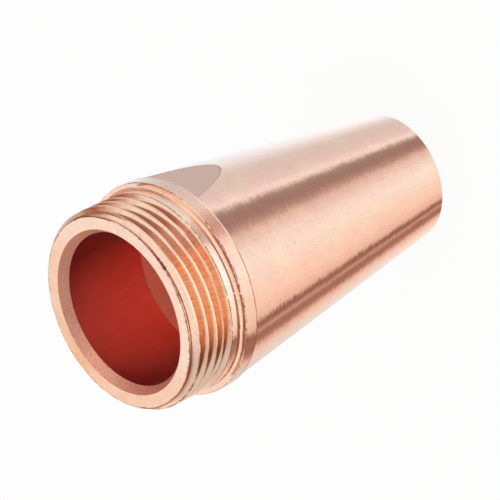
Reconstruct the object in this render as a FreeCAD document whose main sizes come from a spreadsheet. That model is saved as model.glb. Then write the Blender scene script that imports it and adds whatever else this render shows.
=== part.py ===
import FreeCAD, Part
import math
import os
import Sketcher

# A turned copper nozzle for a torch, one solid piece. It stands on its tip:
# the origin is the centre of the tip's end face and +Z runs up to the threaded
# end, which screws into the torch head. The spanner flats face +X and -X.

document = FreeCAD.newDocument("torch_nozzle")
sizes = document.addObject("Spreadsheet::Sheet", "sizes")

# The driving sizes, in millimetres and degrees. The diameters are stepped from the thread's
# and the tip's, so that every wall and step keeps its width. Depth and crest of the thread
# follow from its pitch, as the metric thread form has them.
SIZES = {
    "total_length": 51.2,
    "thread_length": 6.6,
    "land_length": 1.65,
    "collar_thickness": 2.05,
    "rear_bore_depth": 13.8,
    "inner_taper_length": 21.0,
    "mouth_chamfer_depth": 1.25,
    "thread_diameter": 27.0,
    "tip_diameter": 17.7,
    "thread_pitch": 1.5,
    "flank_angle": 30.0,
    "thread_start_angle": -8.3,
    "shoulder_step": 0.85,
    "cone_step": 0.15,
    "flat_depth": 1.2,
    "rear_wall": 3.2,
    "mouth_chamfer_width": 0.8,
    "tip_wall": 1.35,
    "lead_in_chamfer": 0.65,
    "land_fillet": 0.35,
    "collar_edge": 0.1,
    "tip_edge": 0.2,
    "thread_depth": "=0.6134 * thread_pitch",
    "collar_diameter": "=thread_diameter + 2 * shoulder_step",
    "cone_diameter": "=collar_diameter - 2 * cone_step",
    "across_flats": "=cone_diameter - 2 * flat_depth",
    "rear_bore_diameter": "=thread_diameter - 2 * rear_wall",
    "mouth_diameter": "=rear_bore_diameter + 2 * mouth_chamfer_width",
    "tip_bore_diameter": "=tip_diameter - 2 * tip_wall",
    "crest_width": "=thread_pitch / 8",
    "cutter_overshoot": "=thread_pitch / 20",
    "thread_run_out": "=thread_pitch / 30",
}
for row, (alias, value) in enumerate(SIZES.items(), 1):
    sizes.set("A%d" % row, alias)
    sizes.set("B%d" % row, str(value))
    sizes.setAlias("B%d" % row, alias)
document.recompute()

# Radii, and heights above the tip's end face, as expressions on the sheet
THREAD_RADIUS = "sizes.thread_diameter / 2"
COLLAR_RADIUS = "sizes.collar_diameter / 2"
CONE_RADIUS = "sizes.cone_diameter / 2"
TIP_RADIUS = "sizes.tip_diameter / 2"
MOUTH_RADIUS = "sizes.mouth_diameter / 2"
REAR_BORE_RADIUS = "sizes.rear_bore_diameter / 2"
TIP_BORE_RADIUS = "sizes.tip_bore_diameter / 2"
TIP_FACE = "0"
REAR_FACE = "sizes.total_length"
THREAD_END = REAR_FACE + " - sizes.thread_length"
COLLAR_FRONT = THREAD_END + " - sizes.land_length"
COLLAR_BACK = COLLAR_FRONT + " - sizes.collar_thickness"
BORE_END = REAR_FACE + " - sizes.rear_bore_depth"
TAPER_END = BORE_END + " - sizes.inner_taper_length"

body = document.addObject("PartDesign::Body", "nozzle")
body.Label = "nozzle"


def size_of(expression):
    """The number that an expression on the sheet gives."""
    value = body.evalExpression(expression)
    return float(getattr(value, "Value", value))


def add_sketch(name, role):
    """An empty sketch on the body's own origin plane that has this role."""
    sketch = body.newObject("Sketcher::SketchObject", name)
    plane = [item for item in body.Origin.OriginFeatures if item.Role == role][0]
    sketch.AttachmentSupport = (plane, [""])
    sketch.MapMode = "FlatFace"
    return sketch


def hold(sketch, line, kind, name, expression):
    """Ties a line's first point to the sketch's origin, across or along, by an expression."""
    if expression == TIP_FACE:
        sketch.addConstraint(Sketcher.Constraint("PointOnObject", line, 1, -1))
        return
    number = sketch.addConstraint(Sketcher.Constraint(kind, -1, 1, line, 1, size_of(expression)))
    sketch.renameConstraint(number, name)
    sketch.setExpression("Constraints." + name, expression)


def draw_outline(sketch, corners):
    """A closed outline of straight lines through named corners: (name, across, along)."""
    places = [FreeCAD.Vector(size_of(across), size_of(along), 0) for _, across, along in corners]
    first = sketch.GeometryCount
    for start, end in zip(places, places[1:] + places[:1]):
        sketch.addGeometry(Part.LineSegment(start, end), False)
    lines = list(range(first, sketch.GeometryCount))
    for line, following in zip(lines, lines[1:] + lines[:1]):
        sketch.addConstraint(Sketcher.Constraint("Coincident", line, 2, following, 1))
    for line, (name, across, along) in zip(lines, corners):
        hold(sketch, line, "DistanceX", name + "_across", across)
        hold(sketch, line, "DistanceY", name + "_along", along)


# The turned blank: its section goes from the tip up the outside and back down the bore
blank_section = add_sketch("blank_section", "XZ_Plane")
draw_outline(blank_section, [
    ("tip_outside", TIP_RADIUS, TIP_FACE),
    ("cone_top", CONE_RADIUS, COLLAR_BACK),
    ("collar_back", COLLAR_RADIUS, COLLAR_BACK),
    ("collar_front", COLLAR_RADIUS, COLLAR_FRONT),
    ("land_bottom", THREAD_RADIUS, COLLAR_FRONT),
    ("thread_top", THREAD_RADIUS, REAR_FACE + " - sizes.lead_in_chamfer"),
    ("face_outside", THREAD_RADIUS + " - sizes.lead_in_chamfer", REAR_FACE),
    ("mouth_outside", MOUTH_RADIUS, REAR_FACE),
    ("mouth_inside", REAR_BORE_RADIUS, REAR_FACE + " - sizes.mouth_chamfer_depth"),
    ("bore_end", REAR_BORE_RADIUS, BORE_END),
    ("taper_end", TIP_BORE_RADIUS, TAPER_END),
    ("tip_inside", TIP_BORE_RADIUS, TIP_FACE),
])
blank = body.newObject("PartDesign::Revolution", "turned_blank")
blank.Profile = blank_section
blank.ReferenceAxis = (blank_section, ["V_Axis"])
blank.Angle = 360.0
document.recompute()


def rims(shape, radius, height):
    """The names of a shape's round edges that have this radius, at this height."""
    names = []
    for number, edge in enumerate(shape.Edges, 1):
        if isinstance(edge.Curve, Part.Circle):
            same_radius = math.isclose(edge.Curve.Radius, size_of(radius), abs_tol=1e-4)
            same_height = math.isclose(edge.Curve.Center.z, size_of(height), abs_tol=1e-4)
            if same_radius and same_height:
                names.append("Edge%d" % number)
    return names


def dress(kind, name, base, edges, size_property, size):
    """A fillet or chamfer of one named size on some edges of the feature before it."""
    feature = body.newObject(kind, name)
    feature.Base = (base, edges)
    feature.setExpression(size_property, size)
    document.recompute()
    return feature


# Rounded corner between land and collar, then the broken rims of the collar and of the tip
land = dress("PartDesign::Fillet", "land_root", blank,
             rims(blank.Shape, THREAD_RADIUS, COLLAR_FRONT), "Radius", "sizes.land_fillet")
collar = dress("PartDesign::Chamfer", "collar_rims", land,
               rims(land.Shape, COLLAR_RADIUS, COLLAR_FRONT)
               + rims(land.Shape, COLLAR_RADIUS, COLLAR_BACK), "Size", "sizes.collar_edge")
tip = dress("PartDesign::Chamfer", "tip_rims", collar,
            rims(collar.Shape, TIP_RADIUS, TIP_FACE)
            + rims(collar.Shape, TIP_BORE_RADIUS, TIP_FACE), "Size", "sizes.tip_edge")

# Two spanner flats, milled from the collar's back until they run out on the cone
flat_section = add_sketch("flat_section", "XY_Plane")
flat_section.setExpression("AttachmentOffset.Base.z", COLLAR_BACK)
for side, sign in (("right", ""), ("left", "-")):
    flat = sign + "sizes.across_flats / 2"
    outside = sign + "sizes.collar_diameter"
    draw_outline(flat_section, [
        (side + "_flat_low", flat, "-sizes.collar_diameter"),
        (side + "_outside_low", outside, "-sizes.collar_diameter"),
        (side + "_outside_high", outside, "sizes.collar_diameter"),
        (side + "_flat_high", flat, "sizes.collar_diameter"),
    ])
flats = body.newObject("PartDesign::Pocket", "spanner_flats")
flats.Profile = flat_section
flats.Type = "ThroughAll"
document.recompute()

# The thread's groove is one pitch wide less the crest, with flanks that lean outwards
GROOVE_HALF = "(sizes.thread_pitch - sizes.crest_width) / 2"
FLANK_SLOPE = "tan(sizes.flank_angle * 1 deg)"
ROOT_HALF = "(%s - sizes.thread_depth * %s)" % (GROOVE_HALF, FLANK_SLOPE)
OUTER_HALF = "(%s + sizes.cutter_overshoot * %s)" % (GROOVE_HALF, FLANK_SLOPE)
ROOT_RADIUS = THREAD_RADIUS + " - sizes.thread_depth"
OUTER_RADIUS = THREAD_RADIUS + " + sizes.cutter_overshoot"
RUN_OUT_MIDDLE = "(%s + %s)" % (THREAD_END, GROOVE_HALF)


def draw_groove(sketch, middle):
    """The section of the thread's groove, with its middle at this height."""
    draw_outline(sketch, [
        ("root_low", ROOT_RADIUS, middle + " - " + ROOT_HALF),
        ("outer_low", OUTER_RADIUS, middle + " - " + OUTER_HALF),
        ("outer_high", OUTER_RADIUS, middle + " + " + OUTER_HALF),
        ("root_high", ROOT_RADIUS, middle + " + " + ROOT_HALF),
    ])


# The run-out groove, a plain turn of the same section, is cut where the land begins
run_out_section = add_sketch("run_out_section", "XZ_Plane")
draw_groove(run_out_section, RUN_OUT_MIDDLE)
run_out = body.newObject("PartDesign::Groove", "run_out_groove")
run_out.Profile = run_out_section
run_out.ReferenceAxis = (run_out_section, ["V_Axis"])
run_out.Angle = 360.0
document.recompute()

# The right-hand thread: its cutter starts in the run-out groove, climbs the helix and leaves
# through the rear face
groove_section = add_sketch("groove_section", "XZ_Plane")
about_axis = FreeCAD.Rotation(FreeCAD.Vector(0, 1, 0), size_of("sizes.thread_start_angle"))
groove_section.AttachmentOffset = FreeCAD.Placement(FreeCAD.Vector(0, 0, 0), about_axis)
draw_groove(groove_section, RUN_OUT_MIDDLE + " + sizes.thread_run_out")
thread = body.newObject("PartDesign::SubtractiveHelix", "thread_groove")
thread.Profile = groove_section
thread.ReferenceAxis = (groove_section, ["V_Axis"])
thread.Mode = "pitch-height-angle"
thread.setExpression("Pitch", "sizes.thread_pitch")
thread.setExpression("Height", "sizes.thread_length + sizes.thread_pitch")
document.recompute()

for item in document.Objects:
    if "Invalid" in item.State or "Error" in item.State:
        raise RuntimeError("%s did not build: %s" % (item.Label, item.State))
if body.Shape.isNull() or not body.Shape.isValid() or len(body.Shape.Solids) != 1:
    raise RuntimeError("the nozzle is not one valid solid")
if not thread.Shape.Volume < run_out.Shape.Volume < flats.Shape.Volume < tip.Shape.Volume:
    raise RuntimeError("the flats, the run-out groove or the thread cut nothing")

os.makedirs("parts", exist_ok=True)
body.Shape.exportStep("parts/%s.step" % body.Label)
print("nozzle: %.1f cubic millimetres" % body.Shape.Volume)
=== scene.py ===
import bpy
import math
from mathutils import Matrix, Vector


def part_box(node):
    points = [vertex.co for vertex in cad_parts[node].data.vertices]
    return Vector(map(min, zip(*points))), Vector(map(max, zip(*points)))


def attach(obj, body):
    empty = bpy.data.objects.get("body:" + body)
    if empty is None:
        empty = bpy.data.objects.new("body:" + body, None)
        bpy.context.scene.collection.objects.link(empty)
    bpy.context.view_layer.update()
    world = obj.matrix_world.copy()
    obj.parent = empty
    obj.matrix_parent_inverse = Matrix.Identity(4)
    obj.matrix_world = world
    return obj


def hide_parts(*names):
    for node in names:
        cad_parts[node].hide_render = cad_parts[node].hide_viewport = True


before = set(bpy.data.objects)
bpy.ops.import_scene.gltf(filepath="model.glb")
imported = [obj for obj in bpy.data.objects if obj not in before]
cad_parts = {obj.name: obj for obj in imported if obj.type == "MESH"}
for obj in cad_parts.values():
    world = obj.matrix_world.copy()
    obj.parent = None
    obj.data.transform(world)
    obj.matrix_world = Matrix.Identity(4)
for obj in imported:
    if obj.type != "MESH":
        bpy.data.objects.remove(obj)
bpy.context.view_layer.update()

# Nozzle
# One piece of bare copper, turned from a bar: a cone, a collar, a plain land and a thread
# outside, and a stepped bore inside. The thread is cut on the lathe, the two spanner flats
# are milled, and the rims keep the small burrs that the tools leave.
mm = 0.001
TURN = 2 * math.pi
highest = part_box("nozzle")[1]
REAR_FACE = highest.z
COLLAR_RADIUS = round(highest.x / mm, 2) * mm

SHOULDER_STEP = 0.85 * mm
CONE_STEP = 0.15 * mm
FLAT_DEPTH = 1.2 * mm
THREAD_RADIUS = COLLAR_RADIUS - SHOULDER_STEP
CONE_RADIUS = COLLAR_RADIUS - CONE_STEP
FLAT_DISTANCE = CONE_RADIUS - FLAT_DEPTH
THREAD_PITCH = 1.5 * mm
THREAD_DEPTH = 0.6134 * THREAD_PITCH
CREST_HALF = THREAD_PITCH / 16
FLANK_SLOPE = math.tan(math.radians(30))
GROOVE_HALF = THREAD_PITCH / 2 - CREST_HALF
FIRST_CREST = REAR_FACE - 0.86 * mm
FIRST_CREST_AZIMUTH = -math.radians(60.16)

THREAD_END = REAR_FACE - 6.6 * mm
COLLAR_FRONT = THREAD_END - 1.65 * mm
COLLAR_BACK = COLLAR_FRONT - 2.05 * mm
LEAD_IN = 0.65 * mm
LAND_FILLET = 0.35 * mm
LAND_EDGE = 0.12 * mm
LAND_DROP = 0.6 * LAND_EDGE
RUN_OUT = THREAD_PITCH / 30
COLLAR_EDGE = 0.1 * mm

REAR_BORE_RADIUS = THREAD_RADIUS - 3.2 * mm
MOUTH_RADIUS = REAR_BORE_RADIUS + 0.8 * mm
MOUTH_DEPTH = 1.25 * mm
FACE_STEP = 0.05 * mm
BORE_END = REAR_FACE - 13.8 * mm
TAPER_END = BORE_END - 21.0 * mm
TIP_RADIUS = 8.85 * mm
TIP_BORE_RADIUS = TIP_RADIUS - 1.35 * mm
TIP_EDGE = 0.2 * mm

# The section of the nozzle, row by row: radius, height, and the finish and the kind of the
# strip that runs from this row to the next. It goes up the outside and down the bore.
TURNED, MILLED, FACED, CHAMFERED, BORED, TAPERED, THREADED, LAND_HIGHLIGHT = range(8)
PLAIN, ON_FLAT, ON_THREAD, BELOW_FLAT = range(4)
section = []


def strip(start, end, steps, finish, kind=PLAIN, power=1.0):
    """Adds rows from one (radius, height) towards another, which the next strip starts."""
    for step in range(steps):
        share = (step / steps) ** power
        radius = start[0] + (end[0] - start[0]) * share
        height = start[1] + (end[1] - start[1]) * share
        section.append((radius, height, finish, kind))


cone_slope = (CONE_RADIUS - TIP_RADIUS) / COLLAR_BACK
flat_end = COLLAR_BACK * (FLAT_DISTANCE - TIP_RADIUS) / (CONE_RADIUS - TIP_RADIUS)
tip_rim = (TIP_RADIUS + (CONE_RADIUS - TIP_RADIUS) * TIP_EDGE / COLLAR_BACK, TIP_EDGE)
strip((TIP_BORE_RADIUS + TIP_EDGE, 0), (TIP_RADIUS - TIP_EDGE, 0), 4, FACED)
strip((TIP_RADIUS - TIP_EDGE, 0), tip_rim, 2, TURNED)
strip(tip_rim, (FLAT_DISTANCE, flat_end), 14, TURNED, BELOW_FLAT)
strip((FLAT_DISTANCE, flat_end), (CONE_RADIUS, COLLAR_BACK), 18, TURNED, ON_FLAT, 2.0)
section.append((CONE_RADIUS, COLLAR_BACK, TURNED, ON_FLAT))

rim_inside = COLLAR_RADIUS - COLLAR_EDGE
rim_back = (COLLAR_RADIUS, COLLAR_BACK + COLLAR_EDGE)
rim_front = (COLLAR_RADIUS, COLLAR_FRONT - COLLAR_EDGE)
strip((rim_inside, COLLAR_BACK), rim_back, 2, TURNED)
strip(rim_back, rim_front, 4, TURNED)
strip(rim_front, (rim_inside, COLLAR_FRONT), 2, TURNED)
strip((rim_inside, COLLAR_FRONT), (THREAD_RADIUS + LAND_FILLET, COLLAR_FRONT), 3, TURNED)
FILLET_STEPS = 8
for step in range(FILLET_STEPS):
    turn = TURN / 4 * step / FILLET_STEPS
    section.append((THREAD_RADIUS + LAND_FILLET * (1 - math.sin(turn)),
                    COLLAR_FRONT + LAND_FILLET * (1 - math.cos(turn)), TURNED, PLAIN))
land_start = (THREAD_RADIUS, COLLAR_FRONT + LAND_FILLET)
land_top = (THREAD_RADIUS, THREAD_END - LAND_EDGE)
# The land's strips take the paler copper, whose paler colour is a painted highlight
strip(land_start, land_top, 4, LAND_HIGHLIGHT)
strip(land_top, (THREAD_RADIUS - LAND_DROP, THREAD_END), 2, LAND_HIGHLIGHT)

# The thread's rows follow one crest after the other, at the seam's azimuth. The tree
# below lifts them along the helix, and holds them between the land and the rear face.
# They lie closer together near the run-out groove, which they cross at a slant.
SEAM = TURN / 4
FLANK_STEPS, RUN_OUT_FLANK_STEPS = 4, 10
seam_crest = FIRST_CREST + THREAD_PITCH * (SEAM - FIRST_CREST_AZIMUTH) / TURN
root_half = GROOVE_HALF - THREAD_DEPTH * FLANK_SLOPE
lowest_turn = math.floor((THREAD_END - THREAD_PITCH - seam_crest) / THREAD_PITCH)
highest_turn = math.ceil((REAR_FACE - seam_crest) / THREAD_PITCH)
for turn_number in range(lowest_turn, highest_turn + 1):
    middle = seam_crest + turn_number * THREAD_PITCH
    near_run_out = middle < THREAD_END + 0.5 * THREAD_PITCH
    flank_steps = RUN_OUT_FLANK_STEPS if near_run_out else FLANK_STEPS
    edges = [-CREST_HALF, CREST_HALF, THREAD_PITCH / 2 - root_half, THREAD_PITCH / 2 + root_half,
             THREAD_PITCH - CREST_HALF]
    for low, high, steps in zip(edges, edges[1:], (2, flank_steps, 2, flank_steps)):
        strip((THREAD_RADIUS, middle + low), (THREAD_RADIUS, middle + high), steps, THREADED, ON_THREAD)

face_outside = (THREAD_RADIUS - LEAD_IN - FACE_STEP, REAR_FACE)
face_inside = (MOUTH_RADIUS, REAR_FACE)
mouth_end = (REAR_BORE_RADIUS, REAR_FACE - MOUTH_DEPTH)
strip(face_outside, face_inside, 8, FACED)
strip(face_inside, mouth_end, 6, CHAMFERED)
strip(mouth_end, (REAR_BORE_RADIUS, BORE_END), 6, BORED)
strip((REAR_BORE_RADIUS, BORE_END), (TIP_BORE_RADIUS, TAPER_END), 8, TAPERED)
strip((TIP_BORE_RADIUS, TAPER_END), (TIP_BORE_RADIUS, TIP_EDGE), 4, TAPERED)
strip((TIP_BORE_RADIUS, TIP_EDGE), (TIP_BORE_RADIUS + TIP_EDGE, 0), 2, FACED)
section.append((TIP_BORE_RADIUS + TIP_EDGE, 0, FACED, PLAIN))

profile = bpy.data.meshes.new("nozzle_section")
profile.from_pydata([(radius, 0, height) for radius, height, _, _ in section], [], [])
for name, column in (("finish", 2), ("kind", 3)):
    stored = profile.attributes.new(name, "INT", "POINT")
    stored.data.foreach_set("value", [row[column] for row in section])

MATH = "ShaderNodeMath"
VECTOR = "ShaderNodeVectorMath"
RANGE = "ShaderNodeMapRange"
MIX = "ShaderNodeMix"
SWITCH = "GeometryNodeSwitch"


def add_node(tree, kind, inputs=(), **settings):
    """Adds a node with its settings. Its inputs, in order or by name, are linked or set."""
    node = tree.nodes.new(kind)
    for name, value in settings.items():
        setattr(node, name, value)
    for name, value in inputs.items() if isinstance(inputs, dict) else enumerate(inputs):
        if isinstance(value, bpy.types.Node):
            value = value.outputs[0]
        if isinstance(value, bpy.types.NodeSocket):
            tree.links.new(value, node.inputs[name])
        else:
            node.inputs[name].default_value = value
    return node


# The lathe: a grid of columns round the axis and rows along the section, which it wraps
# round the axis. All of its sizes are inputs of the tree.
lathe = bpy.data.node_groups.new("turn_on_lathe", "GeometryNodeTree")
lathe.interface.new_socket("Section", in_out="INPUT", socket_type="NodeSocketGeometry")
lathe_sizes = {
    "Columns": 480,
    "Rows": len(section),
    "Seam": SEAM,
    "Pitch": THREAD_PITCH,
    "Crest Height": seam_crest,
    "Crest Half": CREST_HALF,
    "Crest Radius": THREAD_RADIUS,
    "Root Radius": THREAD_RADIUS - THREAD_DEPTH,
    "Flank Slope": FLANK_SLOPE,
    "Thread End": THREAD_END,
    "Rear Face": REAR_FACE,
    "Face Radius": THREAD_RADIUS - LEAD_IN,
    "Run-out Middle": THREAD_END + GROOVE_HALF,
    "Run-out": RUN_OUT,
    "Tip Rim": TIP_EDGE,
    "Flat End": flat_end,
    "Flat Distance": FLAT_DISTANCE,
    "Flat Column": math.radians(24),
    "Warp End": math.radians(45),
}
for name, size in lathe_sizes.items():
    number_type = "NodeSocketInt" if isinstance(size, int) else "NodeSocketFloat"
    lathe.interface.new_socket(name, in_out="INPUT", socket_type=number_type)
lathe.interface.new_socket("Nozzle", in_out="OUTPUT", socket_type="NodeSocketGeometry")
given = add_node(lathe, "NodeGroupInput").outputs

columns_end = add_node(lathe, MATH, [given["Columns"], 1], operation="ADD")
strips = add_node(lathe, MATH, [given["Rows"], 1], operation="SUBTRACT")
grid = add_node(lathe, "GeometryNodeMeshGrid", {"Vertices X": columns_end, "Vertices Y": given["Rows"]})
index = add_node(lathe, "GeometryNodeInputIndex")


def column_and_row(rows):
    """The column and the row of a point or a face, in a grid with this many rows."""
    columns = add_node(lathe, MATH, [index, 0.5], operation="ADD")
    columns = add_node(lathe, MATH, [columns, rows], operation="DIVIDE")
    column = add_node(lathe, MATH, [columns], operation="FLOOR")
    passed = add_node(lathe, MATH, [column, rows], operation="MULTIPLY")
    return column, add_node(lathe, MATH, [index, passed], operation="SUBTRACT")


def azimuth_and_aside(around):
    """The azimuth at a share of a turn from the seam, and how far it is from the nearest flat."""
    azimuth = add_node(lathe, MATH, [around, TURN], operation="MULTIPLY")
    azimuth = add_node(lathe, MATH, [given["Seam"], azimuth], operation="ADD")
    middle = add_node(lathe, MATH, [azimuth, TURN / 2], operation="DIVIDE")
    middle = add_node(lathe, MATH, [middle], operation="ROUND")
    middle = add_node(lathe, MATH, [middle, TURN / 2], operation="MULTIPLY")
    return azimuth, add_node(lathe, MATH, [azimuth, middle], operation="SUBTRACT")


column, row = column_and_row(given["Rows"])
face_column, face_row = column_and_row(strips)
place_field = add_node(lathe, "GeometryNodeInputPosition")
kind_field = add_node(lathe, "GeometryNodeInputNamedAttribute", {"Name": "kind"}, data_type="INT")
finish_field = add_node(lathe, "GeometryNodeInputNamedAttribute", {"Name": "finish"}, data_type="INT")
samples = []
for field, data_type, at in ((place_field, "FLOAT_VECTOR", row), (kind_field, "INT", row),
                             (kind_field, "INT", face_row), (finish_field, "INT", face_row)):
    samples.append(add_node(lathe, "GeometryNodeSampleIndex",
                            {"Geometry": given["Section"], "Value": field, "Index": at},
                            data_type=data_type, domain="POINT"))
section_point, kind, face_kind, strip_finish = samples
point = add_node(lathe, "ShaderNodeSeparateXYZ", [section_point]).outputs
# Whole numbers that lie closer together than this are the same
MATCH = 0.1
on_thread = add_node(lathe, MATH, [kind, ON_THREAD, MATCH], operation="COMPARE")
on_flat = add_node(lathe, MATH, [kind, ON_FLAT, MATCH], operation="COMPARE")
below_flat = add_node(lathe, MATH, [kind, BELOW_FLAT, MATCH], operation="COMPARE")

# The helix: each row climbs one pitch in a turn, and the crest form gives its radius
around = add_node(lathe, MATH, [column, given["Columns"]], operation="DIVIDE")
lift = add_node(lathe, MATH, [given["Pitch"], around], operation="MULTIPLY")
raised = add_node(lathe, MATH, [point["Z"], lift], operation="ADD")
raised = add_node(lathe, MATH, [raised, given["Thread End"]], operation="MAXIMUM")
thread_height = add_node(lathe, MATH, [raised, given["Rear Face"]], operation="MINIMUM")
crest_start = add_node(lathe, MATH, [given["Crest Height"], lift], operation="ADD")
past_crest = add_node(lathe, MATH, [thread_height, crest_start], operation="SUBTRACT")
turns_up = add_node(lathe, MATH, [past_crest, given["Pitch"]], operation="DIVIDE")
whole_turns = add_node(lathe, MATH, [turns_up], operation="FLOOR")
groove_turns = add_node(lathe, MATH, [whole_turns, 0.5], operation="ADD")
groove_rise = add_node(lathe, MATH, [groove_turns, given["Pitch"]], operation="MULTIPLY")
groove_middle = add_node(lathe, MATH, [crest_start, groove_rise], operation="ADD")
pitch_half = add_node(lathe, MATH, [given["Pitch"], 2], operation="DIVIDE")
groove_half = add_node(lathe, MATH, [pitch_half, given["Crest Half"]], operation="SUBTRACT")


def groove_radius(middle):
    """The radius that a groove of the thread's form leaves, at its distance from this middle."""
    apart = add_node(lathe, MATH, [thread_height, middle], operation="SUBTRACT")
    apart = add_node(lathe, MATH, [apart], operation="ABSOLUTE")
    inside = add_node(lathe, MATH, [groove_half, apart], operation="SUBTRACT")
    inside = add_node(lathe, MATH, [inside, 0.0], operation="MAXIMUM")
    drop = add_node(lathe, MATH, [inside, given["Flank Slope"]], operation="DIVIDE")
    cut_radius = add_node(lathe, MATH, [given["Crest Radius"], drop], operation="SUBTRACT")
    return add_node(lathe, MATH, [cut_radius, given["Root Radius"]], operation="MAXIMUM")


ROUNDING = 1e-6
first_middle = add_node(lathe, MATH, [given["Run-out Middle"], given["Run-out"]], operation="ADD")
first_middle = add_node(lathe, MATH, [first_middle, ROUNDING], operation="SUBTRACT")
is_cut = add_node(lathe, MATH, [groove_middle, first_middle], operation="GREATER_THAN")
helix_radius = add_node(lathe, SWITCH, {
    "Switch": is_cut, "False": given["Crest Radius"], "True": groove_radius(groove_middle)},
    input_type="FLOAT")
form_radius = add_node(lathe, MATH, [helix_radius, groove_radius(given["Run-out Middle"])],
                       operation="MINIMUM")
below_face = add_node(lathe, MATH, [given["Rear Face"], thread_height], operation="SUBTRACT")
lead_in_radius = add_node(lathe, MATH, [given["Face Radius"], below_face], operation="ADD")
thread_radius = add_node(lathe, MATH, [form_radius, lead_in_radius], operation="MINIMUM")
height = add_node(lathe, SWITCH, {"Switch": on_thread, "False": point["Z"], "True": thread_height},
                  input_type="FLOAT")
round_radius = add_node(lathe, SWITCH, {"Switch": on_thread, "False": point["X"], "True": thread_radius},
                        input_type="FLOAT")

# The flats: one column on either side of +X and -X is moved onto the flat's own edge, and
# the columns beside it give way. Below the flats they ease back to even steps.
azimuth, aside = azimuth_and_aside(around)
off_axis = add_node(lathe, MATH, [aside], operation="ABSOLUTE")
safe_radius = add_node(lathe, MATH, [point["X"], 1.0 * mm], operation="MAXIMUM")
edge_cosine = add_node(lathe, MATH, [given["Flat Distance"], safe_radius], operation="DIVIDE")
edge_cosine = add_node(lathe, MATH, [edge_cosine, 1.0], operation="MINIMUM")
flat_edge = add_node(lathe, MATH, [edge_cosine], operation="ARCCOSINE")
squeeze = add_node(lathe, MATH, [flat_edge, given["Flat Column"]], operation="DIVIDE")
inner = add_node(lathe, MATH, [off_axis, squeeze], operation="MULTIPLY")
inner = add_node(lathe, MATH, [inner, flat_edge], operation="MINIMUM")
room = add_node(lathe, MATH, [given["Warp End"], flat_edge], operation="SUBTRACT")
even_room = add_node(lathe, MATH, [given["Warp End"], given["Flat Column"]], operation="SUBTRACT")
spread = add_node(lathe, MATH, [room, even_room], operation="DIVIDE")
past_column = add_node(lathe, MATH, [off_axis, given["Flat Column"]], operation="SUBTRACT")
past_edge = add_node(lathe, MATH, [past_column, spread], operation="MULTIPLY")
outer = add_node(lathe, MATH, [flat_edge, past_edge], operation="ADD")
outer = add_node(lathe, MATH, [outer, given["Warp End"]], operation="MINIMUM")
warped = add_node(lathe, MATH, [inner, outer], operation="MAXIMUM")
is_even = add_node(lathe, MATH, [off_axis, given["Warp End"]], operation="GREATER_THAN")
warped = add_node(lathe, SWITCH, {"Switch": is_even, "False": warped, "True": off_axis}, input_type="FLOAT")
above_rim = add_node(lathe, MATH, [point["Z"], given["Tip Rim"]], operation="SUBTRACT")
ease_length = add_node(lathe, MATH, [given["Flat End"], given["Tip Rim"]], operation="SUBTRACT")
reached = add_node(lathe, MATH, [above_rim, ease_length], operation="DIVIDE")
reached = add_node(lathe, MATH, [reached, 1.0], operation="MINIMUM")
is_moved = add_node(lathe, MATH, [on_flat, below_flat], operation="MAXIMUM")
eased = add_node(lathe, MATH, [reached, is_moved], operation="MULTIPLY")
warp = add_node(lathe, MATH, [warped, off_axis], operation="SUBTRACT")
off_axis_now = add_node(lathe, MATH, [warp, eased, off_axis], operation="MULTIPLY_ADD")
moved = add_node(lathe, MATH, [off_axis_now, off_axis], operation="SUBTRACT")
side = add_node(lathe, MATH, [aside], operation="SIGN")
moved = add_node(lathe, MATH, [side, moved], operation="MULTIPLY")
azimuth_now = add_node(lathe, MATH, [azimuth, moved], operation="ADD")
flat_turn = add_node(lathe, MATH, [off_axis_now, flat_edge], operation="MINIMUM")
flat_cosine = add_node(lathe, MATH, [flat_turn], operation="COSINE")
flat_radius = add_node(lathe, MATH, [given["Flat Distance"], flat_cosine], operation="DIVIDE")
flat_radius = add_node(lathe, MATH, [round_radius, flat_radius], operation="MINIMUM")
ANGLE_ROUNDING = 1e-5
edge_past = add_node(lathe, MATH, [flat_edge, ANGLE_ROUNDING], operation="ADD")
inside_edge = add_node(lathe, MATH, [off_axis_now, edge_past], operation="LESS_THAN")
inside_flat = add_node(lathe, MATH, [on_flat, inside_edge], operation="MULTIPLY")
radius = add_node(lathe, SWITCH, {"Switch": inside_flat, "False": round_radius, "True": flat_radius},
                  input_type="FLOAT")

cosine = add_node(lathe, MATH, [azimuth_now], operation="COSINE")
sine = add_node(lathe, MATH, [azimuth_now], operation="SINE")
turned_x = add_node(lathe, MATH, [radius, cosine], operation="MULTIPLY")
turned_y = add_node(lathe, MATH, [radius, sine], operation="MULTIPLY")
turned_place = add_node(lathe, "ShaderNodeCombineXYZ", [turned_x, turned_y, height])
turned = add_node(lathe, "GeometryNodeSetPosition", {"Geometry": grid, "Position": turned_place})

# The finish of each face comes from the strip that it lies in, and on the flats it is milled
face_middle = add_node(lathe, MATH, [face_column, 0.5], operation="ADD")
face_around = add_node(lathe, MATH, [face_middle, given["Columns"]], operation="DIVIDE")
face_aside = azimuth_and_aside(face_around)[1]
face_aside = add_node(lathe, MATH, [face_aside], operation="ABSOLUTE")
strip_has_flat = add_node(lathe, MATH, [face_kind, ON_FLAT, MATCH], operation="COMPARE")
within_column = add_node(lathe, MATH, [face_aside, given["Flat Column"]], operation="LESS_THAN")
milled = add_node(lathe, MATH, [strip_has_flat, within_column], operation="MULTIPLY")
finish = add_node(lathe, SWITCH, {"Switch": milled, "False": strip_finish, "True": MILLED},
                  input_type="INT")
marked = add_node(lathe, "GeometryNodeStoreNamedAttribute",
                  {"Geometry": turned, "Name": "finish", "Value": finish}, data_type="INT", domain="FACE")
closed = add_node(lathe, "GeometryNodeMergeByDistance", {"Geometry": marked, "Distance": ROUNDING})


def linear(hexadecimal):
    """A hex sRGB colour as linear RGBA."""
    parts = [int(hexadecimal[i:i + 2], 16) / 255 for i in (1, 3, 5)]
    return [p / 12.92 if p <= 0.04045 else ((p + 0.055) / 1.055) ** 2.4 for p in parts] + [1.0]


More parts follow.
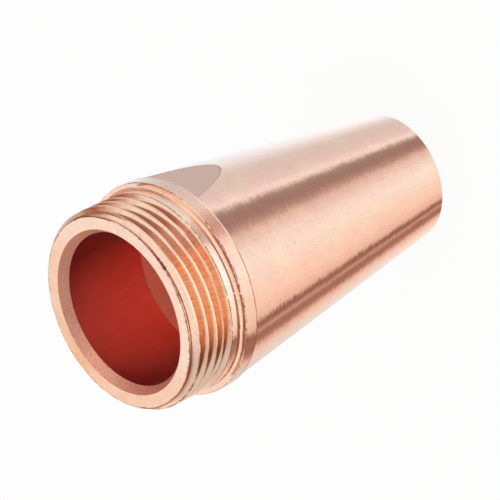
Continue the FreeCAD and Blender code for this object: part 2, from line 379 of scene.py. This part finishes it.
# The tools' marks, as noise that runs round the axis: its real size round the axis and
# across the mark, a shift that keeps it apart from the others, and its detail and roughness.
# The finest real rings lie 0.05 mm apart, and are drawn 0.2 mm apart so that they show.
MARKS = {
    "rings": (3.0 * mm, 0.2 * mm, 0.0, 3.0, 0.6),
    "waves": (0.9 * mm, 0.2 * mm, 40.0, 3.0, 0.65),
    "patches": (5.0 * mm, 4.0 * mm, 60.0, 3.0, 0.6),
    "clouds": (2.0 * mm, 2.2 * mm, 80.0, 4.0, 0.7),
    "pits": (0.35 * mm, 0.2 * mm, 120.0, 2.0, 0.6),
    "dust": (0.35 * mm, 0.16 * mm, 280.0, 2.0, 0.7),
    "hatch": (0.18 * mm, 1.2 * mm, 160.0, 2.0, 0.5),
    "burr edges": (0.45 * mm, 9.0 * mm, 200.0, 2.0, 0.5),
    "burr gaps": (1.1 * mm, 9.0 * mm, 240.0, 3.0, 0.7),
    "burr sway": (1.6 * mm, 9.0 * mm, 320.0, 3.0, 0.7),
}
MARKED_RADIUS = 13.0 * mm
SAND_SIZE = 0.12 * mm

# The levels at which a noise starts to show as a mark and is full, and the shares of the marks and of the
# painted shade
PIT_LEVELS = (0.64, 0.76)
GRAIN_LEVELS = (0.45, 0.66)
HATCH_LEVELS = (0.5, 0.7)
GAP_SOFTNESS = 0.05
BURR_SOFTNESS = 0.3
BURR_SHARE = 0.85
BURR_RISE = 1.3
HATCH_SHARE = 0.28
ROOT_SHADE_SHARE = 0.45
FAR_FLANK_SHADE_SHARE = 0.65
GRAIN_SHARE = 0.5
DUST_SHARE = 0.35
CLOUD_GLOSS = 0.1
MARK_GLOSS = 0.3
# The colour of the dark marks and of the painted shade, and of the painted glints
DARK_MARK_AND_SHADE = "#9c4c2c"
GLINT = "#ffeede"


def ring_marks(tree, outward, across, mark):
    """One of the tools' marks, at a direction from the axis and a distance across."""
    around_size, across_size, shift, detail, roughness = MARKS[mark]
    sides = add_node(tree, "ShaderNodeSeparateXYZ", [outward]).outputs
    reach = MARKED_RADIUS / around_size
    places = add_node(tree, "ShaderNodeCombineXYZ", [
        add_node(tree, MATH, [sides["X"], reach], operation="MULTIPLY"),
        add_node(tree, MATH, [sides["Y"], reach], operation="MULTIPLY"),
        add_node(tree, MATH, [across, 1.0 / across_size, shift], operation="MULTIPLY_ADD")])
    return add_node(tree, "ShaderNodeTexNoise",
                    {"Vector": places, "Scale": 1.0, "Detail": detail, "Roughness": roughness})


def on_side(tree, outward, side):
    """A mask of one side: its bearing from the camera's side in degrees, and the cosines of the
    angles from it where the mask starts and is full."""
    degrees, low, high = side
    bearing = FIRST_CREST_AZIMUTH - math.radians(degrees)
    middle = (math.cos(bearing), math.sin(bearing), 0)
    toward = add_node(tree, VECTOR, [outward, middle], operation="DOT_PRODUCT").outputs["Value"]
    return add_node(tree, RANGE, [toward, low, high])


def burr_line(tree, burr, along, radius, outward):
    """A ragged line: its height, radius, half width, gaps, sway and side."""
    burr_height, burr_radius, half_width, gaps, sway, side = burr
    wander = ring_marks(tree, outward, along, "burr sway")
    ragged = ring_marks(tree, outward, along, "burr edges")
    broken = ring_marks(tree, outward, along, "burr gaps")
    drift = add_node(tree, MATH, [wander, 2 * sway, -sway - burr_radius], operation="MULTIPLY_ADD")
    off_radius = add_node(tree, MATH, [radius, drift], operation="ADD")
    off_radius = add_node(tree, MATH, [off_radius, 2.0], operation="POWER")
    off_height = add_node(tree, MATH, [along, burr_height], operation="SUBTRACT")
    off_height = add_node(tree, MATH, [off_height, 2.0], operation="POWER")
    distance = add_node(tree, MATH, [off_height, off_radius], operation="ADD")
    distance = add_node(tree, MATH, [distance], operation="SQRT")
    edge = add_node(tree, MATH, [ragged, -2 * half_width, distance], operation="MULTIPLY_ADD")
    line = add_node(tree, RANGE, [edge, half_width * BURR_SOFTNESS, half_width * -BURR_SOFTNESS])
    unbroken = add_node(tree, RANGE, [broken, gaps - GAP_SOFTNESS, gaps + GAP_SOFTNESS])
    line = add_node(tree, MATH, [line, unbroken], operation="MULTIPLY")
    return add_node(tree, MATH, [line, on_side(tree, outward, side)], operation="MULTIPLY")


# The thread's colours, and the sides where they show: a painted highlight on the crests in front, a painted
# orange of bounced light in the grooves, and painted shade low down
CREST, FRONT_CREST_HIGHLIGHT, GROOVE = "#fbc8a6", "#ffe6cc", "#f4bf9c"
FRONT_SIDE = (8, 0.72, 0.85)
GROOVE_SIDE = (18, 0.8, 0.9)
LOW_SIDE = (85, 0.6, 0.8)


def thread_colours(tree, along, radius, outward, across, base, dark):
    """The thread's crests with a painted highlight in front, its hatched grooves with a painted orange of
    bounced light, and painted shade in its roots and on its far flanks.
    """
    front = on_side(tree, outward, FRONT_SIDE)
    below_crest = add_node(tree, RANGE, [radius, THREAD_RADIUS - 0.01 * mm, THREAD_RADIUS - 0.08 * mm])
    past_lead_in = add_node(tree, RANGE, [along, REAR_FACE - 0.75 * mm, REAR_FACE - 0.95 * mm])
    groove = add_node(tree, MATH, [below_crest, past_lead_in], operation="MULTIPLY")
    at_crest = add_node(tree, RANGE, [radius, THREAD_RADIUS - 0.13 * mm, THREAD_RADIUS - 0.05 * mm])
    past_face = add_node(tree, RANGE, [along, REAR_FACE - 0.6 * mm, REAR_FACE - 0.8 * mm])
    crest = add_node(tree, MATH, [at_crest, past_face], operation="MULTIPLY")
    # Painted highlight: the crests are paler on the front side
    crest_colour_and_highlight = add_node(tree, MIX, {0: front, 6: linear(CREST), 7: linear(FRONT_CREST_HIGHLIGHT)},
                            data_type="RGBA").outputs[2]
    base = add_node(tree, MIX, {0: crest, 6: base, 7: crest_colour_and_highlight}, data_type="RGBA").outputs[2]
    # Painted orange of bounced light in the grooves, on one side only
    groove_painted_bounce = add_node(tree, MATH, [groove, on_side(tree, outward, GROOVE_SIDE)], operation="MULTIPLY")
    base = add_node(tree, MIX, {0: groove_painted_bounce, 6: base, 7: linear(GROOVE)}, data_type="RGBA").outputs[2]

    strokes = add_node(tree, RANGE, [ring_marks(tree, outward, across, "hatch"), *HATCH_LEVELS])
    hatched = add_node(tree, MATH, [groove, HATCH_SHARE], operation="MULTIPLY")
    hatched = add_node(tree, MATH, [strokes, hatched], operation="MULTIPLY")
    hatched = add_node(tree, MATH, [hatched, front], operation="MULTIPLY")
    # Painted shade on the flanks that face the collar and in the roots, away from the front and on the low
    # side
    flank = add_node(tree, "ShaderNodeNewGeometry").outputs["True Normal"]
    flank = add_node(tree, "ShaderNodeSeparateXYZ", [flank]).outputs["Z"]
    far_flank_shade = add_node(tree, RANGE, [flank, -0.2, -0.5])
    far_flank_shade_share = add_node(tree, MATH, [front, -FAR_FLANK_SHADE_SHARE, FAR_FLANK_SHADE_SHARE], operation="MULTIPLY_ADD")
    far_flank_shade = add_node(tree, MATH, [far_flank_shade, far_flank_shade_share], operation="MULTIPLY")
    low_side = add_node(tree, MATH, [on_side(tree, outward, LOW_SIDE), ROOT_SHADE_SHARE], operation="MULTIPLY")
    root_shade_share = add_node(tree, MATH, [front, -ROOT_SHADE_SHARE, ROOT_SHADE_SHARE], operation="MULTIPLY_ADD")
    root_shade_share = add_node(tree, MATH, [low_side, root_shade_share], operation="ADD")
    root = add_node(tree, RANGE, [radius, THREAD_RADIUS - 0.45 * mm, THREAD_RADIUS - 0.8 * mm])
    root = add_node(tree, MATH, [root, root_shade_share], operation="MULTIPLY")
    for mark in (hatched, root, far_flank_shade):
        dark = add_node(tree, MATH, [dark, mark], operation="MAXIMUM")
    return base, dark


# Bare copper: bright reflections show it pale, and light that has bounced from wall to
# wall, as in the thread and the bore, turns orange and then deep red. Rings and waves tilt
# the surface a little, and pits and tears show as dark specks. Burrs show as dark lines
# whose darkness is partly painted shade; some sides, roots and flanks get painted shade,
# the grooves a painted orange of bounced light, and crests and one edge painted highlights.
def copper(name, colour, roughness, rings=0.03, waves=0.11, specks=0.5, stain=0.05, grain=0.0,
           burr_marks_and_shade_lines=(), glint_burrs=(), wear_and_side_shade=(), shaded=None, threaded=False, outlined=0.0):
    """A bare copper with the marks that its tool leaves, and with painted shade and highlights where they
    are given.
    """
    material = bpy.data.materials.new(name)
    material.use_nodes = True
    tree = material.node_tree
    tree.nodes.clear()
    place = add_node(tree, "ShaderNodeTexCoord").outputs["Object"]
    along = add_node(tree, "ShaderNodeSeparateXYZ", [place]).outputs["Z"]
    level = add_node(tree, VECTOR, [place, (1, 1, 0)], operation="MULTIPLY")
    radius = add_node(tree, VECTOR, [level], operation="LENGTH").outputs["Value"]
    outward = add_node(tree, VECTOR, [level], operation="NORMALIZE")
    across = add_node(tree, MATH, [along, radius], operation="ADD")
    ring, wave, patch, cloud, pit, dust = [ring_marks(tree, outward, across, mark) for mark in (
        "rings", "waves", "patches", "clouds", "pits", "dust")]
    glint_lines = [burr_line(tree, burr, along, radius, outward) for burr in glint_burrs]

    # The tilts of the surface: waves sideways, rings along, sand outwards, burrs upwards
    tangent = add_node(tree, VECTOR, [(0, 0, 1), outward], operation="CROSS_PRODUCT")
    sway = add_node(tree, MATH, [wave, waves, -0.5 * waves], operation="MULTIPLY_ADD")
    cloud_sway = add_node(tree, MATH, [cloud, 0.5], operation="SUBTRACT")
    sway = add_node(tree, MATH, [cloud_sway, 0.5 * waves, sway], operation="MULTIPLY_ADD")
    ring_tilt = add_node(tree, MATH, [ring, rings, -0.5 * rings], operation="MULTIPLY_ADD")
    tilts = [add_node(tree, VECTOR, {0: tangent, "Scale": sway}, operation="SCALE"),
             add_node(tree, "ShaderNodeCombineXYZ", {"Z": ring_tilt})]
    if grain:
        sand = add_node(tree, VECTOR, {0: place, "Scale": 1 / SAND_SIZE}, operation="SCALE")
        sand = add_node(tree, "ShaderNodeTexNoise",
                        {"Vector": sand, "Scale": 1.0, "Detail": 2.0, "Roughness": 0.5})
        sand_tilt = add_node(tree, MATH, [sand, grain, -0.5 * grain], operation="MULTIPLY_ADD")
        tilts.append(add_node(tree, VECTOR, {0: outward, "Scale": sand_tilt}, operation="SCALE"))
    for line in glint_lines:
        rise = add_node(tree, MATH, [line, BURR_RISE], operation="MULTIPLY")
        tilts.append(add_node(tree, "ShaderNodeCombineXYZ", {"Z": rise}))
    normal = add_node(tree, "ShaderNodeNewGeometry").outputs["Normal"]
    for tilt in tilts:
        normal = add_node(tree, VECTOR, [normal, tilt], operation="ADD")
    normal = add_node(tree, VECTOR, [normal], operation="NORMALIZE")

    # The colour: worn patches and painted side shade on the plain copper, dark marks, stains, painted shade
    # by side, and burr lines partly of painted shade
    base = add_node(tree, "ShaderNodeRGB").outputs[0]
    base.default_value = linear(colour)
    # Patches of wear and stain, and painted shade: a darker tint over a whole side
    for tint_colour, low, high, side in wear_and_side_shade:
        tint_patch = add_node(tree, RANGE, [patch, low, high])
        share = add_node(tree, MATH, [tint_patch, on_side(tree, outward, side)], operation="MULTIPLY")
        base = add_node(tree, MIX, {0: share, 6: base, 7: linear(tint_colour)}, data_type="RGBA").outputs[2]
    dark = add_node(tree, RANGE, [pit, *PIT_LEVELS])
    dark = add_node(tree, MATH, [dark, specks], operation="MULTIPLY")
    if threaded:
        base, dark = thread_colours(tree, along, radius, outward, across, base, dark)
    if grain:
        grains = add_node(tree, RANGE, [sand, *GRAIN_LEVELS])
        grains = add_node(tree, MATH, [grains, GRAIN_SHARE], operation="MULTIPLY")
        dark = add_node(tree, MATH, [dark, grains], operation="MAXIMUM")
    shade = add_node(tree, MATH, [cloud, -2 * stain, 1.0 + stain], operation="MULTIPLY_ADD")
    dust_shade = add_node(tree, MATH, [dust, 0.5], operation="SUBTRACT")
    shade = add_node(tree, MATH, [dust_shade, -DUST_SHARE, shade], operation="MULTIPLY_ADD")
    # Painted shade: the colour is darker away from one side, by its bearing round the axis
    if shaded:
        amount, side = shaded
        lit = add_node(tree, MATH, [on_side(tree, outward, side), amount, 1.0 - amount],
                       operation="MULTIPLY_ADD")
        shade = add_node(tree, MATH, [shade, lit], operation="MULTIPLY")
    shown = add_node(tree, VECTOR, {0: base, "Scale": shade}, operation="SCALE")
    if outlined:
        cone = add_node(tree, MATH, [along, cone_slope, TIP_RADIUS], operation="MULTIPLY_ADD")
        inside = add_node(tree, MATH, [cone, radius], operation="SUBTRACT")
        rim = add_node(tree, RANGE, [inside, 0.07 * mm, 0.02 * mm])
        rim = add_node(tree, MATH, [rim, outlined], operation="MULTIPLY")
        dark = add_node(tree, MATH, [dark, rim], operation="MAXIMUM")
    # Painted shade: dark lines along the burrs and in the corners
    for burr in burr_marks_and_shade_lines:
        line = burr_line(tree, burr, along, radius, outward)
        line = add_node(tree, MATH, [line, BURR_SHARE], operation="MULTIPLY")
        dark = add_node(tree, MATH, [dark, line], operation="MAXIMUM")
    shown = add_node(tree, MIX, {0: dark, 6: shown, 7: linear(DARK_MARK_AND_SHADE)}, data_type="RGBA").outputs[2]
    # Painted highlight: the glint burrs' lines are mixed towards a pale glint colour
    for line in glint_lines:
        shown = add_node(tree, MIX, {0: line, 6: shown, 7: linear(GLINT)}, data_type="RGBA").outputs[2]
        dark = add_node(tree, MATH, [dark, line], operation="MAXIMUM")
    gloss = add_node(tree, MATH, [cloud, CLOUD_GLOSS, roughness - CLOUD_GLOSS / 2], operation="MULTIPLY_ADD")
    gloss = add_node(tree, MATH, [dark, MARK_GLOSS, gloss], operation="MULTIPLY_ADD")
    shader = add_node(tree, "ShaderNodeBsdfPrincipled", {
        "Base Color": shown, "Metallic": 1.0, "Roughness": gloss, "Normal": normal})
    add_node(tree, "ShaderNodeOutputMaterial", {"Surface": shader})
    return material


# The burrs and the finishes of the nozzle. A burr has a height, a radius, a half width, a
# share of gaps, a sway, and the side where it shows. The dark lines' darkness is partly
# painted shade, in the gaps under the burrs and in the corners, on the given side only.
ALL_ROUND = (0, -1.2, -1.1)
FACE_RIM = THREAD_RADIUS - LEAD_IN
face_burr_and_shadow = (REAR_FACE, FACE_RIM, 0.09 * mm, 0.46, 0.2 * mm, ALL_ROUND)
lead_in_shade = (REAR_FACE, FACE_RIM + 0.12 * mm, 0.3 * mm, 0.2, 0.15 * mm, (78, 0.72, 0.9))
crest_burr_and_shade = (REAR_FACE - 1.14 * mm, THREAD_RADIUS, 0.18 * mm, 0.46, 0.0, (68, 0.72, 0.84))
torn_burr_and_shade = (REAR_FACE, FACE_RIM + 0.03 * mm, 0.26 * mm, 0.3, 0.3 * mm, (14, 0.7, 0.85))
collar_back_burr_and_shade = (COLLAR_BACK + 0.1 * mm, COLLAR_RADIUS, 0.11 * mm, 0.3, 0.0, (60, 0.3, 0.5))
collar_back_glint = (COLLAR_BACK + 0.1 * mm, COLLAR_RADIUS, 0.13 * mm, 0.3, 0.0, (-70, 0.3, 0.6))
collar_front_burr = (COLLAR_FRONT - 0.1 * mm, COLLAR_RADIUS, 0.07 * mm, 0.5, 0.0, ALL_ROUND)
shoulder_corner_shade = (COLLAR_FRONT, THREAD_RADIUS + 0.6 * mm, 0.18 * mm, 0.3, 0.0, (20, 0.6, 0.85))
land_fillet_shade = (COLLAR_FRONT + 0.38 * mm, THREAD_RADIUS, 0.14 * mm, 0.25, 0.0, (58, 0.85, 0.93))
land_burr = (THREAD_END - 0.02 * mm, THREAD_RADIUS, 0.13 * mm, 0.4, 0.0, ALL_ROUND)
finishes = {
    # A sharp tool and a fine feed: a satin skin that still mirrors the light panels. Its dark lines at the
    # collar and the shoulder are partly painted shade, and the glint on the collar's back edge is a painted
    # highlight
    TURNED: copper("fine_turned_copper", "#f9d0bb", 0.11, specks=0.6,
                   wear_and_side_shade=[("#fad7bb", 0.45, 0.7, ALL_ROUND)],
                   burr_marks_and_shade_lines=[collar_back_burr_and_shade, collar_front_burr, shoulder_corner_shade, land_fillet_shade],
                   glint_burrs=[collar_back_glint]),
    # A paler copy of the same turned copper on the land, whose paler colour is a painted highlight
    LAND_HIGHLIGHT: copper("land_highlight_copper", "#ffe6d0", 0.11, specks=0.6, burr_marks_and_shade_lines=[land_fillet_shade, land_burr]),
    # An end mill's flat: duller and greyer, with a thin dark rim where it leaves the cone
    MILLED: copper("milled_copper", "#e4b69e", 0.2, rings=0.01, waves=0.02, specks=0.3, outlined=0.3),
    # The rear face and the tip's face: a soft scatter, with a darker, yellower painted shade over one side
    # and a yellow stain low on the face
    FACED: copper("faced_copper", "#fcdac4", 0.3, rings=0.05, waves=0.05, specks=0.5, stain=0.14,
                  wear_and_side_shade=[("#facdb1", -1, -0.5, (155, -0.25, 0.1)),
                        ("#efb080", 0.35, 0.7, (162, 0.75, 0.97))],
                  burr_marks_and_shade_lines=[face_burr_and_shadow, torn_burr_and_shade]),
    # The mouth's chamfer is cut with chatter, which leaves it sandy and rough, and it has painted shade on
    # one side
    CHAMFERED: copper("chamfered_copper", "#ffbfa6", 0.5, rings=0.1, waves=0.1, grain=0.9,
                      shaded=(0.36, (30, -0.95, -0.6))),
    # The bore: a clean wall of a pinker tint, which bounced light turns to a deep red; the pinker tint is
    # partly a painted deeper red of that bounced light, and painted shade darkens it away from one side
    BORED: copper("bored_copper", "#f4abb3", 0.3, rings=0.03, waves=0.05, specks=0.2,
                  shaded=(0.66, (177, 0.5, 1.0))),
    # The taper and the tip's bore, left dull from the drill
    TAPERED: copper("tapered_copper", "#ffc8ac", 0.75, rings=0.03, waves=0.05, specks=0.2),
    # The thread: bright crests, and grooves that the cutter has scored, with painted shade on two of its
    # sides
    THREADED: copper("thread_cut_copper", "#f9d3bb", 0.12, threaded=True, shaded=(0.25, (60, 0.97, 0.86)),
                     wear_and_side_shade=[("#dba384", -0.2, 0.0, (-95, 0.75, 0.97))],
                     burr_marks_and_shade_lines=[face_burr_and_shadow, torn_burr_and_shade, lead_in_shade, crest_burr_and_shade]),
}
realized = add_node(lathe, "GeometryNodeRealizeInstances", {"Geometry": closed})
shape = add_node(lathe, "GeometryNodeSetShadeSmooth", {"Geometry": realized, "Shade Smooth": True})
for number, material in finishes.items():
    chosen = add_node(lathe, MATH, [finish_field, number, MATCH], operation="COMPARE")
    shape = add_node(lathe, "GeometryNodeSetMaterial",
                     {"Geometry": shape, "Selection": chosen, "Material": material})
add_node(lathe, "NodeGroupOutput", {"Nozzle": shape})

blank = bpy.data.objects.new("nozzle_blank", profile)
bpy.context.scene.collection.objects.link(blank)
modifier = blank.modifiers.new("turn_on_lathe", "NODES")
modifier.node_group = lathe
for item in lathe.interface.items_tree:
    if item.in_out == "INPUT" and item.name in lathe_sizes:
        modifier[item.identifier] = lathe_sizes[item.name]
bpy.context.view_layer.update()
ready = blank.evaluated_get(bpy.context.evaluated_depsgraph_get())
mesh = bpy.data.meshes.new_from_object(ready)
blank.modifiers.remove(modifier)
bpy.data.objects.remove(blank)
mesh.name = "nozzle_body"
mesh.materials.pop(index=0)
SHARP_EDGE = math.radians(6.5)
mesh.set_sharp_from_angle(angle=SHARP_EDGE)

# Long faces beside the flats get the true normals of the cone and of the flats
face_finish = mesh.attributes["finish"].data
normals = []
for face in mesh.polygons:
    mark = face_finish[face.index].value
    on_cone = mark == TURNED and TIP_EDGE < face.center.z < COLLAR_BACK - ROUNDING
    for number in face.vertices:
        place = mesh.vertices[number].co
        if mark == MILLED:
            normals.append((math.copysign(1.0, face.center.x), 0, 0))
        elif on_cone:
            lean = -cone_slope * math.hypot(place.x, place.y)
            normals.append(Vector((place.x, place.y, lean)).normalized())
        else:
            normals.append((0, 0, 0))
mesh.normals_split_custom_set(normals)
nozzle = bpy.data.objects.new("copper_nozzle", mesh)
bpy.context.scene.collection.objects.link(nozzle)
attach(nozzle, "root")
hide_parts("nozzle")

# Floor
# A plain pale sheet that the nozzle stands on. The camera sees it as white with the
# nozzle's shadow, and polished metal looks past it to the studio's panels.
FLOOR_REACH = 3.0
FLOOR_DROP = 0.2 * mm
CAMERA_SHARE = 0.9
corner_signs = ((-1, -1), (1, -1), (1, 1), (-1, 1))
floor_corners = [(x * FLOOR_REACH, y * FLOOR_REACH, -FLOOR_DROP) for x, y in corner_signs]
floor_mesh = bpy.data.meshes.new("floor")
floor_mesh.from_pydata(floor_corners, [], [(0, 1, 2, 3)])
floor = bpy.data.objects.new("floor", floor_mesh)
bpy.context.scene.collection.objects.link(floor)
floor_paint = bpy.data.materials.new("white_floor")
floor_paint.use_nodes = True
tree = floor_paint.node_tree
tree.nodes.clear()
ray = add_node(tree, "ShaderNodeLightPath").outputs
lit = add_node(tree, "ShaderNodeBsdfDiffuse", {"Color": linear("#f4f4f4")})
white = add_node(tree, "ShaderNodeEmission", {"Color": linear("#ffffff"), "Strength": 1.0})
share = add_node(tree, MATH, [ray["Is Camera Ray"], CAMERA_SHARE], operation="MULTIPLY")
mixed = add_node(tree, "ShaderNodeMixShader", [share, lit, white])
add_node(tree, "ShaderNodeOutputMaterial", {"Surface": mixed})
floor_mesh.materials.append(floor_paint)
floor.visible_glossy = False

# Studio
# A white room with a ring of soft light panels low round the nozzle. The copper mirrors
# their bright stretches and the two dark gaps between them. The camera sees plain white.
VIEW_BEARING = -math.radians(60.16)
PANEL_STRENGTH = 1.5
SHELF_BEARING = 122 / 360
# Where each band of the room starts and is full: as the sine of its angle above the
# horizon, and for the shelf's sides as a share of a turn
PANEL_TOP = (0.2, 0.08)
LOW_PANELS = (-0.64, -0.74)
SHELF_SIDES = (50 / 360, 34 / 360)
SHELF_TOP = (0.62, 0.45)
studio = bpy.data.worlds.new("studio")
bpy.context.scene.world = studio
studio.use_nodes = True
tree = studio.node_tree
tree.nodes.clear()
direction = add_node(tree, "ShaderNodeTexCoord").outputs["Generated"]
part = add_node(tree, "ShaderNodeSeparateXYZ", [direction]).outputs
bearing = add_node(tree, MATH, [part["Y"], part["X"]], operation="ARCTAN2")
off_view = add_node(tree, MATH, [VIEW_BEARING, bearing], operation="SUBTRACT")
fraction = add_node(tree, MATH, [off_view, TURN], operation="DIVIDE")
fraction = add_node(tree, MATH, [fraction, 0.5], operation="ADD")
fraction = add_node(tree, MATH, [fraction], operation="FRACT")

# The panels by their bearing from the camera in degrees: their light low down, their light
# higher up, and how much green and blue it has for each part of red. They are set so that
# the cone shows its pale stretches and its two dark bands where the real one does.
PANELS = [
    (-180, 1.36, 0.85, 1.06, 1.07), (-157, 1.21, 0.9, 1.15, 1.24), (-140, 1.09, 0.75, 1.19, 1.37),
    (-124, 0.9, 0.74, 1.12, 1.24), (-107, 0.76, 0.71, 1.06, 1.14), (-90, 0.78, 0.76, 1.04, 1.12),
    (-73, 0.86, 0.8, 1.02, 1.08), (-63, 1.04, 0.85, 1.03, 1.13), (-59.5, 0.93, 0.85, 1.0, 1.0),
    (-53, 0.4, 0.8, 0.86, 0.84), (-47, 0.37, 0.73, 0.78, 0.77), (-37, 0.38, 0.64, 0.74, 0.71),
    (-28, 0.5, 0.73, 0.76, 0.72), (-18.5, 0.83, 1.02, 0.88, 0.87), (-9, 0.91, 1.14, 0.95, 0.97),
    (0, 1.0, 1.14, 1.0, 1.06), (18.5, 1.04, 1.1, 1.1, 1.14), (46, 1.04, 1.03, 0.97, 0.92),
    (64, 1.04, 1.0, 0.87, 0.81), (84, 0.9, 0.88, 0.77, 0.71), (88, 0.32, 0.4, 0.54, 0.43),
    (95, 0.3, 0.3, 0.52, 0.42), (97.5, 0.66, 0.36, 0.68, 0.6), (101, 0.66, 0.36, 0.68, 0.6),
    (103.5, 0.38, 0.36, 0.58, 0.47), (109, 0.38, 0.38, 0.55, 0.43), (116, 0.47, 0.5, 0.55, 0.43),
    (121, 0.82, 0.7, 0.74, 0.67), (128, 0.95, 0.84, 0.84, 0.76), (140, 1.03, 0.8, 0.93, 0.86),
    (158, 1.12, 0.77, 1.0, 0.96), (179, 1.3, 0.78, 1.0, 0.95),
]
LOW, HIGHER = 1, 2
panel_light = {}
for band in (HIGHER, LOW):
    ramp = add_node(tree, "ShaderNodeValToRGB", [fraction])
    stops = ramp.color_ramp.elements
    while len(stops) > 1:
        stops.remove(stops[0])
    stops[0].position = 0.0
    for row in PANELS:
        degrees, green_share, blue_share = row[0], row[3], row[4]
        position, level = degrees / 360 + 0.5, row[band] / PANEL_STRENGTH
        stop = stops[0] if position == 0 else stops.new(position)
        stop.color = (level, level * green_share, level * blue_share, 1)
    panel_light[band] = ramp

low_share = add_node(tree, RANGE, [part["Z"], *LOW_PANELS])
panel_colour = add_node(tree, MIX, {0: low_share, 6: panel_light[HIGHER], 7: panel_light[LOW]},
                        data_type="RGBA").outputs[2]
panels = add_node(tree, "ShaderNodeBackground", {"Color": panel_colour, "Strength": PANEL_STRENGTH})
ray = add_node(tree, "ShaderNodeLightPath").outputs
unseen = add_node(tree, MATH, [1.0, ray["Is Camera Ray"]], operation="SUBTRACT")

# Above the panels, a shelf the colour of dull copper on one side, out of the camera's sight
off_shelf = add_node(tree, MATH, [fraction, 0.5 - SHELF_BEARING], operation="SUBTRACT")
off_shelf = add_node(tree, MATH, [off_shelf], operation="ABSOLUTE")
shelf_side = add_node(tree, RANGE, [off_shelf, *SHELF_SIDES])
shelf_top = add_node(tree, RANGE, [part["Z"], *SHELF_TOP])
shelf = add_node(tree, MATH, [shelf_side, shelf_top], operation="MULTIPLY")
shelf = add_node(tree, MATH, [shelf, unseen], operation="MULTIPLY")
room_colour = add_node(tree, MIX, {0: shelf, 6: linear("#ffffff"), 7: linear("#b98f78")},
                       data_type="RGBA").outputs[2]
room = add_node(tree, "ShaderNodeBackground", {"Color": room_colour, "Strength": 1.0})
below = add_node(tree, RANGE, [part["Z"], *PANEL_TOP])
shown = add_node(tree, MATH, [below, unseen], operation="MULTIPLY")
both = add_node(tree, "ShaderNodeMixShader", [shown, room, panels])
add_node(tree, "ShaderNodeOutputWorld", {"Surface": both})

# Camera
# A long lens, as for a product photo, turned so that the nozzle lies on its side. Its place
# and directions are fitted to the round rims of the nozzle as the photo shows them.
camera_data = bpy.data.cameras.new("camera")
camera_data.lens = 245.69
camera_data.sensor_width = 36.0
camera = bpy.data.objects.new("camera", camera_data)
bpy.context.scene.collection.objects.link(camera)
CAMERA_PLACE = Vector((0.171217, -0.298480, 0.303800))
PICTURE_RIGHT = Vector((-0.104002, -0.706951, -0.699573))
PICTURE_UP = Vector((0.915505, 0.206800, -0.345085))
TOWARDS_CAMERA = Vector((0.388631, -0.676353, 0.625710))
turn = Matrix((PICTURE_RIGHT, PICTURE_UP, TOWARDS_CAMERA)).transposed().to_4x4()
camera.matrix_world = Matrix.Translation(CAMERA_PLACE) @ turn
bpy.context.scene.camera = camera

bpy.context.scene.view_settings.view_transform = "Standard"
# Light goes from wall to wall many times in the thread's grooves and in the bore
BOUNCES = 16
bpy.context.scene.cycles.max_bounces = BOUNCES
bpy.context.scene.cycles.glossy_bounces = BOUNCES
